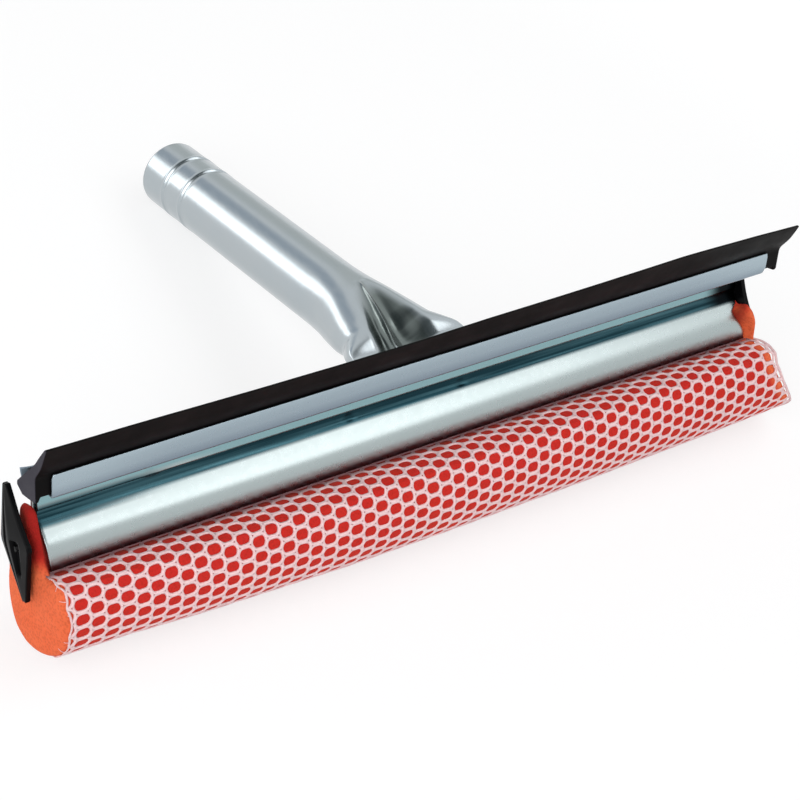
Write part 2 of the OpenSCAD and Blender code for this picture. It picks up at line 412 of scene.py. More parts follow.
def folded_zinc(tree, colours):
    """Electroplated zinc on folded sheet: satin, bluish where the chromate coat is even. Parts are
    painted with shade and reflections: a deep blue-green in the recess under the channel that turns
    almost black at its right end, a light teal on the strip above it, a dark red-brown along the front
    plate's edge over the net, and a paler channel whose jaw darkens downwards and lightens towards its
    ends."""
    # rolling lines run along the blade; like the tube's they are drawn wider than the real ones
    lines = grain(tree, (71.429, 1.4286, 1.4286), 4)
    shoulder = blend(tree, grain(tree, 16.667, 4), colours.zinc_sheet, "#B3BCBC")
    # painted highlight and shade: the channel gets its own paler bluish tone, darker down its jaw and
    # lighter towards its ends, for how the jaw mirrors its surroundings
    channel = blend(tree, kept(tree, "jaw_shade"), "#A6B5BD", "#808D99")
    colour = blend(tree, kept(tree, "clean"), shoulder, channel)
    # painted reflection: the strip above the recess is given the light teal of what it mirrors
    colour = blend(tree, kept(tree, "strip"), colour, "#86A8AD")
    # painted shade and reflection: the recess under the channel is coloured a deep blue-green,
    # streaked along the rolling lines
    streaks = ranged(tree, lines, 0.42, 0.7)
    recess = blend(tree, streaks, colours.recess_shade_tone, "#466A73")
    colour = blend(tree, kept(tree, "recess_shade"), colour, recess)
    # painted shade and reflection: the front plate's lower edge over the net is darkened to a
    # red-brown, standing for the net's shadow and its reflection
    colour = blend(tree, kept(tree, "net_shade"), colour, "#54262F")
    # painted reflection: the recess turns almost black towards its right end, where it mirrors the
    # black clip
    colour = blend(tree, kept(tree, "clip_reflection"), colour, "#0C1114")
    scuffed = ranged(tree, grain(tree, 2.381, 2), 0.2, 0.8, 0.26, 0.3)
    shaded(
        tree,
        "ShaderNodeBsdfPrincipled",
        {
            "Base Color": colour,
            "Metallic": 1.0,
            "Roughness": ranged(tree, kept(tree, "sheared"), 0.0, 1.0, scuffed, 0.7),
            "Normal": bump(tree, lines, 0.08, 0.04),
        },
    )


def moulded_rubber(tree, colours):
    """Black natural rubber, pressed in a polished mould: soft sheen, dusty bloom in patches, and
    greyer where the strip was cut to length."""
    bloom = grain(tree, 14.286, 5)
    tone = blend(tree, ranged(tree, bloom, 0.45, 0.8, 0.0, 0.3), colours.rubber, "#151213")
    shaded(
        tree,
        "ShaderNodeBsdfPrincipled",
        {
            "Base Color": blend(tree, kept(tree, "cut"), tone, "#39373F"),
            "Roughness": ranged(tree, bloom, 0.3, 0.7, 0.42, 0.62),
            "IOR": 1.52,
            "Specular IOR Level": 0.06,
            "Normal": bump(tree, grain(tree, 0.4, 2), 0.25, 0.05),
        },
    )


def open_foam(tree, colours):
    """Open-celled polyurethane foam: matt and full of pores, red outside and a paler orange where the
    sponge was cut across. Where the plates pinch it and at the top of the left neck it is painted
    dark, a painted shade."""
    # the cells are about 0.5 mm across, and are drawn twice that so that they show
    pores, voids = cells(tree, 0.9524), cells(tree, 2.381)
    patch = grain(tree, 9.091, 4)
    red = blend(tree, patch, colours.foam, "#D02C20")
    orange = blend(tree, patch, colours.foam_end, "#EE6A40")
    colour = blend(tree, kept(tree, "end"), red, orange)
    # painted shade: dark red where the plates pinch the foam and at the top of the left neck
    colour = blend(tree, kept(tree, "crevice_shade"), colour, "#4A0C10")
    colour = blend(tree, ranged(tree, pores, 0.0, 0.6, 0.36, 0.0), colour, "#96281A")
    shaded(
        tree,
        "ShaderNodeBsdfPrincipled",
        {
            "Base Color": colour,
            "Roughness": 0.95,
            "Specular IOR Level": 0.15,
            "Sheen Weight": 0.25,
            "Sheen Roughness": 0.5,
            "Sheen Tint": linear("#FF8A66"),
            "Normal": bump(tree, voids, 0.4, 0.5, bump(tree, pores, 0.6, 0.3)),
        },
    )


def knitted_yarn(tree, colours):
    """Raschel-knitted polyester: bundles of fine filaments with a soft sheen. Near the plates' edges
    the net is painted a dark red-brown, a painted shade for the shadow under the plates; its knots and
    hem are a little darker in their own tone."""
    place = add(tree, "ShaderNodeTexCoord").outputs["Object"]
    # the knitted loops lie about 1 mm apart along each strand; the filaments of 0.02 mm are too
    # fine to see and are drawn as a fuzz of 0.6 mm
    loops = add(
        tree,
        "ShaderNodeTexWave",
        {0: place, "Scale": 420, "Distortion": 4.0, "Detail": 2.0},
        bands_direction="DIAGONAL",
    ).outputs["Fac"]
    fuzz = grain(tree, 0.5882, 3)
    tone = blend(tree, ranged(tree, fuzz, 0.3, 0.75, 0.0, 0.4), colours.yarn, "#EFB9BC")
    # painted shade near the plates' edges, together with the darker tone of the knots and hem
    toned_and_shaded = ranged(tree, kept(tree, "knot_tone_and_shade"), 0.0, 1.0, 0.0, 0.9)
    shaded(
        tree,
        "ShaderNodeBsdfPrincipled",
        {
            "Base Color": blend(tree, toned_and_shaded, tone, "#6A2A32"),
            "Roughness": 0.6,
            "Specular IOR Level": 0.3,
            "Sheen Weight": 0.2,
            "Normal": bump(tree, fuzz, 0.5, 0.2, bump(tree, loops, 0.5, 0.15)),
        },
    )


def moulded_plastic(tree, colours):
    """Injection-moulded black polypropylene: satin skin with a fine spark texture."""
    flow = grain(tree, 8.333, 3)
    # a spark-eroded mould leaves pits of about 0.05 mm, drawn here at 0.3 mm
    spark = grain(tree, 1 / 3, 2)
    shaded(
        tree,
        "ShaderNodeBsdfPrincipled",
        {
            "Base Color": blend(tree, flow, colours.plastic, "#0A0A0C"),
            "Roughness": ranged(tree, flow, 0.3, 0.7, 0.32, 0.45),
            "IOR": 1.49,
            "Specular IOR Level": 0.07,
            "Normal": bump(tree, spark, 0.3, 0.04),
        },
    )


def material_for(build):
    """The scene's one copy of a material."""
    made = bpy.data.materials.get(build.__name__)
    if made is None:
        made = new_material(build.__name__)
        build(made.node_tree, bpy.context.scene.squeegee_colours)
    return made


# ---------------------------------------------------------------- socket


def around_socket(y):
    """Where the points of the socket's outline lie: shares of its half width from the left edge
    over the top to the right and back underneath, closest together along the crease."""
    sizes = bpy.context.scene.squeegee_sizes
    crease = crease_at(y) / flare_half(y, sizes.socket_diameter / MM / 2)
    swing = (1 - np.cos(np.linspace(0, math.pi, 67))) / 2
    left = -1 + swing * (crease + 1)
    right = crease + swing * (1 - crease)
    under = np.cos(np.linspace(0, math.pi, 81))[1:-1]
    return np.concatenate([left, right[1:]]), under


def eased(at, places, values):
    """Follows values between places with the corners eased over a few millimetres."""
    return float(np.mean([np.interp(at + d, places, values) for d in (-2.4, -1.2, 0, 1.2, 2.4)]))


def crease_at(y):
    """Where the crease pressed into the flare lies along X."""
    return eased(y, [11, 17, 20, 25, 30, 38, 42], [-6.0, -5.2, -4.4, -3.4, -2.0, -0.3, 0.9])


def flare_half(y, radius):
    """Half the width of the socket at a distance from the head."""
    places = [12.7, 15, 17.5, 19.5, 21.5, 25, 31, 40, 48, 56]
    halves = [23, 23, 22.3, 20.5, 19, 18.2, 17.2, 15, 13.4, radius]
    return eased(y, places, halves)


def before_drawing(y):
    """The dies drew the last 20 mm of the flare out towards the head. This gives a place on it as
    it was before that, which is how the curves of the flare are given."""
    return y if y > 20 else 20 - (20 - max(y, FOOT_START)) * 0.78


def socket_section(y):
    """Outer outline of the socket at a distance from the head. The tube is pressed flat at its
    foot, which leaves a sharp crease with a valley each side running up into the round tube."""
    radius = bpy.context.scene.squeegee_sizes.socket_diameter / MM / 2
    near = before_drawing(y)
    half = flare_half(near, radius)
    middle = eased(near, [12.7, 15, 22, 30, 56], [3.6, 3.0, 0.8, 0.0, 0.0])
    top = eased(near, [12.7, 13.6, 15, 17.5, 24, 40, 56], [4.2, 4.9, 6.6, 8.4, 10.6, 12.4, radius])
    low = eased(near, [12.7, 15, 20, 25, 31, 40, 56], [2.8, 0.6, -3.6, -6.4, -9, -11.6, -radius])
    square_top = eased(near, [12.7, 15, 20, 56], [9.0, 4.0, 2.6, 2.0])
    square_under = eased(near, [12.7, 20, 56], [8.0, 2.6, 2.0])
    over, under = around_socket(y)
    z_over = middle + (top - middle) * (1 - np.abs(over) ** square_top) ** (1 / square_top)
    z_over -= np.array([valley_depth(half * u, near) for u in over])
    seam = np.exp(-(((half * over - crease_at(y)) / 0.42) ** 2))
    z_over += eased(near, [12, 14, 36, 42], [0.2, 0.4, 0.4, 0.0]) * seam
    z_under = middle + (low - middle) * (1 - np.abs(under) ** square_under) ** (1 / square_under)
    z_under = np.minimum(z_under, np.interp(under, over, z_over) - 1.6 * (1 - np.abs(under) ** 6))
    x = half * np.concatenate([over, under])
    return np.stack([x, np.full(len(x), y), np.concatenate([z_over, z_under])], 1)


def valley_depth(x, y):
    """Depth of the two valleys pressed into the top of the flare: a shallow one between the left
    fold and the crease, and a deep one from the crease to the right ridge."""
    if y > 43:
        return 0.0
    crease = crease_at(y)
    right = eased(y, [12, 20, 28, 36, 42], [13.5, 12.6, 10.8, 9.0, 6.0])
    left = eased(y, [11, 22, 34, 39, 42], [-15.0, -11.4, -6.8, -4.8, -2.5])
    deep = eased(y, [12.7, 15, 20, 31, 43], [2.6, 5.0, 5.6, 2.8, 0.0])
    shallow = eased(y, [12.7, 15, 20, 31, 43], [1.6, 2.6, 2.6, 1.3, 0.0])
    if crease < x < right:
        t = (x - crease) / (right - crease)
        return deep * 6.75 * t * (1 - t) ** 2
    if left < x <= crease:
        t = (crease - x) / (crease - left)
        return shallow * 6.75 * t * (1 - t) ** 2
    return 0.0


def bead_depth(y):
    """Depth of the two grooves rolled in near the mouth, with a small raised lip each side."""
    depth = 0.0
    for from_mouth in GROOVES:
        away = abs(y - (SOCKET_REACH - from_mouth))
        depth += 0.7 * math.exp(-((away / 0.55) ** 2))
        depth -= 0.12 * math.exp(-(((away - 1.3) / 0.5) ** 2))
    return depth


def build_socket():
    """One skin from the blind end of the bore out to the mouth, back along the tube and its flare,
    and down the tab folded behind the head."""
    sizes = bpy.context.scene.squeegee_sizes
    radius, bore = sizes.socket_diameter / MM / 2, sizes.bore / MM / 2
    over, under = around_socket(60)
    shares = np.concatenate([over, under])
    heights = np.sqrt(np.maximum(0, 1 - shares**2))
    heights[len(over) :] *= -1
    count = len(shares)

    def ring(y, r):
        return np.stack([r * shares, np.full(count, y), r * heights], 1)

    inner = [ring(50, bore * 0.985)]
    inner += [ring(y, bore) for y in (52, 60, 100, SOCKET_REACH - 20, SOCKET_REACH - 6)]
    mouth = [
        ring(SOCKET_REACH - 1.0, bore),
        ring(SOCKET_REACH - 0.12, bore + 0.1),
        ring(SOCKET_REACH, bore + 0.3),
        ring(SOCKET_REACH, radius - 0.3),
        ring(SOCKET_REACH - 0.15, radius - 0.06),
    ]
    near = list(np.arange(SOCKET_REACH - 0.6, SOCKET_REACH - 32, -0.25))
    far = list(np.arange(SOCKET_REACH - 34, 60, -4.0))
    tube = [ring(y, radius - bead_depth(y)) for y in near + far]
    flare = [socket_section(y) for y in np.arange(59, 10.9, -0.5)]
    # the pressed end runs on flat to the head, then folds down behind it
    foot = socket_section(FOOT_START)
    for y in (10.2, 9.5, 8.8, FOOT_END):
        ahead = foot.copy()
        ahead[:, 1] = y
        flare.append(ahead)
    pivot = foot[:, 2].min() - 0.9
    for turn in np.radians([15, 30, 45, 60, 75, 90]):
        bent = foot.copy()
        bent[:, 1] = FOOT_END - (foot[:, 2] - pivot) * math.sin(turn)
        bent[:, 2] = pivot + (foot[:, 2] - pivot) * math.cos(turn)
        flare.append(bent)
    for drop in (-4.5, -6.5, TAB_FOOT + 0.25, TAB_FOOT):
        lower = flare[-1].copy()
        lower[:, 2] = drop
        flare.append(lower)
    vertices, faces = loft(inner + mouth + tube + flare)
    made = piece(
        "socket_tube", vertices, faces, rolled_zinc, "head", "handle_socket"
    )
    outside = (len(inner) + len(mouth)) * count
    # painted shade: how much dull grey each point of the flare's valleys and crease gets, for their
    # darker reflections
    pressed = []
    for k, (x, y, _) in enumerate(vertices):
        valley_shade = 0.0
        if k >= outside and k % count < len(over):
            seam = math.exp(-(((x - crease_at(y)) / 1.2) ** 2)) * smooth_step(44, 40, y)
            valley_shade = min(1.0, valley_depth(x, before_drawing(y)) / 1.8 + 0.8 * seam)
        pressed.append(valley_shade * smooth_step(9.0, 11.0, y))
    attribute(made, "pressed", pressed)


# ---------------------------------------------------------------- folded sheets


def blade_holder():
    """The channel's back wall stands a little open at its ends, where the blade swells."""
    sizes = bpy.context.scene.squeegee_sizes
    line = folded_line((-10.9, 12.6), -90, [(7.2, 0.8, 90), (11.2, 0.8, 90), (2.9, 0, 0)])
    left = contour([(0, -144.4), (0.5, -144.9), (18, -144.9), (20.5, -148)])
    right = contour([(0, 142.9), (0.5, 143.4), (6.2, 143.4), (8.2, 141.6), (18, 142), (20.5, 148)])

    def shape(x, s):
        open_end = 1.0 * smooth_step(144.8, 148.4, abs(x)) * smooth_step(20.5, 23.5, s)
        return open_end + 0.12 * soft_noise(x, 0, s, 38, 3.0) + 0.04 * soft_noise(x, 0, s, 9, 1.0)

    vertices, faces, along = folded_sheet(line, left, right, sizes.sheet / MM, shape, 180)
    made = piece(
        "blade_holder", vertices, faces, folded_zinc, "head", "blade_channel"
    )
    reach = np.abs(vertices[:, 0])
    starts = np.where(along > 20.5, 144.8, 144.4)
    attribute(made, "sheared", smooth_step(starts, starts + 0.8, reach))
    # painted highlight and shade: the channel's paler tone, darker down its jaw and lighter towards
    # its ends
    attribute(made, "clean", np.ones(len(vertices)))
    low = np.interp(along, [0, 3, 5, 6.8, 7.6], [0.0, 0.25, 0.35, 0.9, 1.0])
    ends = smooth_step(100, 145, reach)
    attribute(made, "jaw_shade", np.clip(low + 0.15 - 0.35 * ends, 0, 1))
    even_normals(made)


# Where the front plate's web starts, and the folds of the two plates as folded_line takes them
FRONT_START = (2.7, 7.5)
FRONT_STEPS = [(10.7, 1, -8), (4.4, 0.45, 58), (0.3, 0.45, -50), (0, 5.3, -45), (5.2, 11, 31)]
BACK_STEPS = [(9.6, 4, 30), (0.5, 14, -44), (1.4, 0, 0)]
PLATE_EDGE = 9.8  # how far down the neck the front plate's shoulder ends
WELDS = [(-104, 14.4), (-30, 18.6), (16, 18.9), (90, 16.7)]  # along X and down the sheet


def down_neck(y, z):
    """How far a place is down the sponge's neck from the point where the clips enter."""
    return float(np.array([0, y, z]) @ DOWN - CLIP_POINT @ DOWN)


def front_plate():
    """The web slopes out to a pressed step, turns in under it and comes out again as a broad
    shoulder over the sponge. Spot welds leave shallow dents in the recess."""
    sizes = bpy.context.scene.squeegee_sizes
    line = folded_line(FRONT_START, -90, FRONT_STEPS)
    to_edge = PLATE_EDGE - down_neck(line[-1, 0], line[-1, 1])
    line = folded_line(FRONT_START, -90, FRONT_STEPS + [(to_edge, 0, 0)])
    left = contour([(15, -143.2), (21, -143.4), (26, -143.6), (31, -143.6), (33.3, -143.4)])
    # a notch is cut in the shoulder's right end
    notch = [(21.2, 143.6), (22.7, 142.3), (23.8, 140.9), (24.8, 139.7), (26.5, 140.1)]
    notch += [(28.2, 140.9), (30.2, 142.0), (32.2, 143.2), (33.3, 143.3)]
    right = contour(notch)

    def shape(x, s):
        out = 0.035 * soft_noise(x, 0, s, 60, 5.0) * smooth_step(20, 24, s)
        for weld_x, weld_s in WELDS:
            away = math.hypot((x - weld_x) / 1.7, (s - weld_s) / 1.0)
            out += 0.1 * math.exp(-((away - 1.9) ** 2) * 3) - 0.3 * math.exp(-away * away)
        return out

    vertices, faces, along = folded_sheet(line, left, right, sizes.sheet / MM, shape, 260)
    made = piece(
        "front_plate", vertices, faces, folded_zinc, "head", "sponge_front_plate"
    )
    x = vertices[:, 0]
    wider = 1.2 * smooth_step(-70, -143, x)
    # painted shade and reflection: where the recess is coloured deep blue-green, reaching wider
    # towards the left end
    recess_shade = smooth_step(15.5, 16.0, along + wider) * (1 - smooth_step(20.5, 21.7, along - wider))
    attribute(made, "recess_shade", recess_shade)
    # painted reflection: where the strip above the recess gets its light teal
    attribute(made, "strip", 1 - smooth_step(15.2, 15.6, along + wider))
    # painted reflection: where the recess turns almost black beside the right clip
    attribute(made, "clip_reflection", smooth_step(127, 136, x) * (1 - smooth_step(20.5, 21.7, along)))
    # painted shade and reflection of the net along the front plate's lower edge, a little uneven
    uneven = np.array([0.35 * soft_noise(v, 0, 0, 7, 21.0) for v in x])
    attribute(made, "net_shade", 0.85 * smooth_step(-2.6, -1.2, along - along.max() + uneven))
    even_normals(made)


def back_plate():
    """The web turns back and down behind the sponge's neck."""
    sizes = bpy.context.scene.squeegee_sizes
    line = folded_line((4.05, 1), -90, BACK_STEPS)
    total = line[-1, 3]
    left = contour([(0, -143), (1.5, -144.2), (total - 1, -144.2), (total, -143.2)])
    right = contour([(0, 142.4), (1.5, 143.5), (total - 1, 143.5), (total, 142.5)])

    def shape(x, s):
        return 0.1 * soft_noise(x, 0, s, 40, 7.0)

    vertices, faces, _ = folded_sheet(line, left, right, sizes.sheet / MM, shape, 150)
    made = piece(
        "back_plate", vertices, faces, folded_zinc, "head", "sponge_back_plate"
    )
    even_normals(made)


# ---------------------------------------------------------------- rubber


# How far the blade's lip sags along its length
SAG_AT = [-150, -125, -100, -75, -50, -15, 10, 40, 65, 95, 113, 130, 150]
SAG_DOWN = [0.05, 0.3, 0.85, 1.2, 1.5, 1.4, 0.95, 0.8, 0.4, 0.1, 0.35, 0.6, 1.3]

# How far the blade's foot swells down at its ends, from its front edge to its back edge
SWELL_AT = [-10.6, -5.5, -0.8, 0.6, 1.2]
SWELL_DOWN = [1.5, 2.5, 3.2, 1.4, 1.2]


def build_blade():
    """The strip keeps its moulded wedge section; just outside the channel it swells downwards."""
    sizes = bpy.context.scene.squeegee_sizes
    half = sizes.blade_length / MM / 2
    lip = sizes.lip_height / MM
    foot = 5.35  # the rubber's underside stands on the channel's floor
    corners = [(1.2, foot), (-10.2, foot), (-10.2, 12.6), (-13.9, 17.8), (-15.8, 22.2)]
    corners += [(-17.45, lip), (-16.65, lip + 0.05), (-12.7, 21.0), (-10.5, 17.7), (1.2, 6.2)]
    outline = rounded(corners, [0.3, 0.5, 1.5, 2.5, 2.0, 0.12, 0.12, 2.5, 2.0, 0.6], 4)
    under = [(y, foot) for y in (-2.0, -3.6, -5.5, -7.4, -9.0)]
    outline = np.concatenate([outline[:5], under, outline[5:]])
    left = [-half + p for p in (0, 0.12, 0.3, 0.65, 1.0, 1.3, 1.6, 1.9, 2.5, 4.5)]
    stations = left + list(np.linspace(-half + 7, half - 7, 118)) + [-x for x in left[::-1]]
    loops = []
    middle = outline.mean(0)
    for x in stations:
        end = half - abs(x)
        inset = 0.2 * (1 - smooth_step(0, 0.3, end))
        section = middle + (outline - middle) * (1 - inset / 9)
        high = smooth_step(14, lip, section[:, 1])
        section[:, 1] -= high * np.interp(x, SAG_AT, SAG_DOWN)
        section[:, 0] += high * 0.25 * soft_noise(x, 0, 0, 40, 4.0)
        swell = np.interp(section[:, 0], SWELL_AT, SWELL_DOWN)
        swell *= 1 - smooth_step(5.4, 8.0, section[:, 1])
        section[:, 1] -= swell * (1 - smooth_step(1.0, 1.95, end))
        loops.append(np.stack([np.full(len(section), x), section[:, 0], section[:, 1]], 1))
    vertices, faces = loft(loops)
    finish = moulded_rubber
    made = piece(
        "rubber_strip", vertices, faces, finish, "blade", "rubber_blade", flat=50
    )
    attribute(made, "cut", np.abs(vertices[:, 0]) > half - 0.25)
    even_normals(made)


# ---------------------------------------------------------------- sponge


def bulb_size(x):
    """Radius of the foam bulb at a place along the blade, and how far its middle rises."""
    radius = bpy.context.scene.squeegee_sizes.foam_radius / MM
    places = [-150, -123, -96, -70, -41, 0, 60, 119, 155]
    less = np.interp(x, places, [2.9, 2.3, 1.4, 0.85, 0.3, 0, 0, 0.35, 0.8])
    rise = np.interp(x, places, [2.2, 1.9, 1.1, 0.7, 0.2, 0, 0, 0.25, 0.5])
    return radius - less, rise


def spread(points, count):
    """Points evenly spaced along a bent line."""
    points = np.array(points, float)
    run = np.concatenate([[0], np.cumsum(np.linalg.norm(np.diff(points, axis=0), axis=1))])
    share = np.linspace(0, run[-1], count)
    return np.stack([np.interp(share, run, points[:, axis]) for axis in (0, 1)], 1)


# The sponge's neck from its top down to the bulb: forward of its middle line, and down it from
# the point where the clips enter. Between the plates it is pinched; at the cut ends it swells.
NECK_FRONT = [(0, -4.6), (1.6, -4.2), (3.7, 0), (4.8, 3), (5.3, 5.7), (5.3, 9.4), (5.7, LEDGE)]
NECK_BACK = [(0, -4.6), (-1.8, -4.3), (-4.2, 0.6), (-4.77, 3.3), (-4.8, 9.4), (-5.2, LEDGE)]
LEFT_FRONT = [(0, -11.5), (3.2, -11.3), (5.2, -10), (5.7, -8), (5.4, -4), (6, 6), (8, LEDGE)]
LEFT_BACK = [(0, -11.5), (-1.8, -11.3), (-3.4, -10.2), (-3.9, -8), (-5, 2), (-7, LEDGE)]
RIGHT_FRONT = [(0, -5.4), (3.2, -5.6), (6.8, -4.6), (9.9, -1.6), (11, 2.4), (10.4, 7), (9.9, LEDGE)]
RIGHT_BACK = [(0, -5.4), (-3.2, -5), (-5.4, 0), (-6, 4), (-6.2, 9.4), (-6.6, LEDGE)]


def sponge_at(x, n, s, out=0.0, facing=(0.0, 0.0)):
    """A place on the sponge: n forward and s down the neck, moved out the way it faces."""
    n, s = n + out * facing[0], s + out * facing[1]
    return CLIP_POINT + n * FORWARD + s * DOWN + np.array([x, 0, 0])


def ledge_line(radius, middle, start, count):
    """From the neck out along the flat ledge and over its soft edge to the round of the bulb."""
    edge = np.array([radius * math.sin(EDGE_TURN), middle - radius * math.cos(EDGE_TURN)])
    n = edge[0] - (edge[0] - start) * np.linspace(1, 0, count) ** 1.4
    fall = np.clip(1 - (edge[0] - n) / EDGE_WIDTH, 0, 1) ** 2.5
    return np.stack([n, LEDGE + (edge[1] - LEDGE) * fall], 1)


def round_line(radius, middle, count):
    """The round of the bulb, between its two ledges."""
    turns = np.linspace(EDGE_TURN, 2 * math.pi - EDGE_TURN, count + 2)[1:-1]
    return np.stack([radius * np.sin(turns), middle - radius * np.cos(turns)], 1)


def sponge_section(x):
    """Outline of the sponge across the blade, from the back of the neck over its top, down the
    front and round the bulb."""
    radius, rise = bulb_size(x)
    middle = BULB_DROP - rise
    sides = []
    fronts, backs = (NECK_FRONT, LEFT_FRONT, RIGHT_FRONT), (NECK_BACK, LEFT_BACK, RIGHT_BACK)
    for usual, left, right in (fronts, backs):
        side = spread(usual, 34)
        side += smooth_step(-143.9, -145.2, x) * (spread(left, 34) - side)
        bulge = spread(right, 34) - side
        # the front plate's notch lets the foam out sooner than its straight edge does
        start = 143.4 - 3.4 * np.exp(-(((side[:, 1] - 1.6) / 2.4) ** 2)) * (usual is NECK_FRONT)
        start -= foam_right(side[:, 1]) - FOAM_RIGHT
        side += smooth_step(start, start + 2.6, x)[:, None] * bulge
        sides.append(side)
    front, back = sides
    front_ledge = ledge_line(radius, middle, front[-1][0], 17)[1:]
    back_ledge = ledge_line(radius, middle, -back[-1][0], 17)[1:] * (-1, 1)
    bulb = round_line(radius, middle, 90)
    return np.concatenate([back_ledge[::-1], back[:0:-1], front, front_ledge, bulb])


def pulled_in(section, depth):
    """The outline moved inwards by a depth, for the rounded rims of the cut ends."""
    along = sum(np.roll(section, -k, 0) - np.roll(section, k, 0) for k in (1, 2, 3, 4))
    moved = section + depth * unit(np.stack([-along[:, 1], along[:, 0]], 1))
    for _ in range(10):
        nearby = np.roll(moved, 1, 0) + np.roll(moved, -1, 0)
        moved = moved + np.clip(depth / 2.5, 0, 1) * 0.25 * (nearby - 2 * moved)
    return moved


def foam_right(s):
    """Where the foam ends on the right: its cut slants outwards from the ledge down."""
    down = [-4, 0, 4, 8, 10, 12, 16, 19.2, 23.6, 27.9, 32, 35, 38, 43]
    past = [0.4, 1.2, 1.6, 1.6, 1, 0, -0.4, 0.8, 3.2, 6.2, 10, 12.9, 14.4, 14.6]
    return 145 + np.interp(s, down, past)


def rim_depth(run):
    """How far the foam's soft rim is drawn in at a distance from its cut end."""
    return np.interp(run, [0, 0.25, 0.8, 1.5, 2.4, 3.4], [2.5, 1.65, 0.9, 0.4, 0.12, 0])


def foam_left(n, s):
    """How far the cut on the left leans in and out, mostly towards its back."""
    return np.interp(s, [6, 12, 19, 32, 42], [0, 1.0, 0, -2.0, -2.4]) * np.interp(n, [-6, 14], [1, 0])


def end_face(rim, side):
    """Rings of points that close the cut end inside its rim, crowned and a little uneven."""
    x = FOAM_LEFT if side < 0 else FOAM_RIGHT
    centre = sponge_at(x, 0, BULB_DROP - bulb_size(x)[1])
    rings = []
    for share in np.linspace(1, 0, 26)[1:-1]:
        ring = centre + (rim - centre) * share
        if side > 0:
            ring[:, 0] = foam_right((ring - CLIP_POINT) @ DOWN)
        ring[:, 0] += side * 0.9 * (1 - share**3)
        ring[:, 0] += [0.25 * soft_noise(0, p[1], p[2], 5, 2.0) for p in ring]
        rings.append(ring)
    return rings[::side]


def dent_for_clip(loop):
    """Presses the right clip into the foam, which still bulges over the front of the plate's lower
    half."""
    sizes = bpy.context.scene.squeegee_sizes
    up, rear = clip_axes(CLIP_RIGHT_LEAN)
    away = loop - CLIP_POINT
    across = (away @ rear) / (sizes.clip_width / MM / 2)
    outside = np.abs(away @ up) / (sizes.clip_height / MM / 2) + np.abs(across)
    outside += 2 * smooth_step(-6.5, -4, away @ DOWN) * smooth_step(0.1, -0.15, across)
    pressed = CLIP_RIGHT_FACE - 0.2 + 12 * np.maximum(outside - 1.02, 0)
    loop[:, 0] = np.minimum(loop[:, 0], pressed)


def build_foam():
    """Sections across the blade, closest together at the cut ends, joined into one skin."""
    rim = [0.0, 0.12, 0.25, 0.5, 0.8, 1.1, 1.5, 1.95, 2.4, 2.9, 3.4]
    stations = [FOAM_LEFT + run for run in rim]
    stations += list(np.linspace(FOAM_LEFT + 4, 139, 110))
    stations += list(np.linspace(139.6, FOAM_RIGHT - 3.8, 6))
    stations += [FOAM_RIGHT - run for run in rim[::-1]]
    loops, near_end = [], []
    for x in stations:
        run = min(x - FOAM_LEFT, FOAM_RIGHT - x)
        section = pulled_in(sponge_section(x), rim_depth(run))
        lumps = [0.1 * soft_noise(x, n, s, 7, 1.0) for n, s in section]
        section = pulled_in(section, np.array(lumps)[:, None])
        loop = np.array([sponge_at(x, n, s) for n, s in section])
        reach = foam_right(section[:, 1]) - FOAM_RIGHT
        loop[:, 0] += reach * smooth_step(105, FOAM_RIGHT - 3, x)
        loop[:, 0] += foam_left(*section.T) * smooth_step(-120, -144, x)
        loops.append(loop)
        near_end.append(1 - (smooth_step(1.6, 3.6, run) if x < 0 else smooth_step(2.4, 7.4, run)))
    left, right = end_face(loops[0], -1), end_face(loops[-1], 1)
    loops = left + loops + right
    near_end = [1.0] * len(left) + near_end + [1.0] * len(right)
    for loop in loops[len(loops) // 2 :]:
        dent_for_clip(loop)
    end, crevice_shade = [], []
    for loop, near in zip(loops, near_end):
        down = (loop - CLIP_POINT) @ DOWN
        forward = np.abs((loop - CLIP_POINT) @ FORWARD)
        on_left = loop[:, 0] < 0
        # painted shade: how dark the foam is where the plates pinch it and at the top of the left neck
        tucked = 0.9 * (1 - near) * smooth_step(11.5, 6.6, forward) * (down < 12)
        crevice_shade.append(np.maximum(tucked, 0.4 * smooth_step(9, 2, down) * on_left))
        # the cut ends are orange; on the left the neck is kept red, partly its redder foam and partly
        # a painted shade for the shadow on it
        end.append(near * np.where(on_left, smooth_step(4, 11, down), smooth_step(-4, 0, down)))
    vertices, faces = loft(loops)
    made = piece("foam_bulb", vertices, faces, open_foam, "sponge", "foam_sponge")
    attribute(made, "end", np.concatenate(end))
    attribute(made, "crevice_shade", np.concatenate(crevice_shade))


@lru_cache(maxsize=None)
def net_line(x):
    """The net's line round the sponge at a place along the blade, from under the front plate to
    under the back one: distance along it, and where it lies and faces, forward and down."""
    radius, rise = bulb_size(x)
    middle = BULB_DROP - rise
    ledge = ledge_line(radius, middle, NET_START, 24)
    points = np.concatenate([ledge, round_line(radius, middle, 120), ledge[::-1] * (-1, 1)])
    run = np.concatenate([[0], np.cumsum(np.linalg.norm(np.diff(points, axis=0), axis=1))])
    along = unit(np.gradient(points, axis=0))
    return run, points[:, 0], points[:, 1], along[:, 1], -along[:, 0]


def net_surface(x, v, out):
    """A place on the net, v along it round the sponge, out from the foam. Towards the thinner left
    end the spare length is taken up at the back."""
    run, *columns = net_line(round(x))
    taken_up = (run[-1] - NET_FRONT) / (NET_ROUND - NET_FRONT)
    at = v if v < NET_FRONT else NET_FRONT + (v - NET_FRONT) * taken_up
    n, s, facing_n, facing_s = (np.interp(at, run, c) for c in columns)
    return sponge_at(x, n, s, out, (facing_n, facing_s))


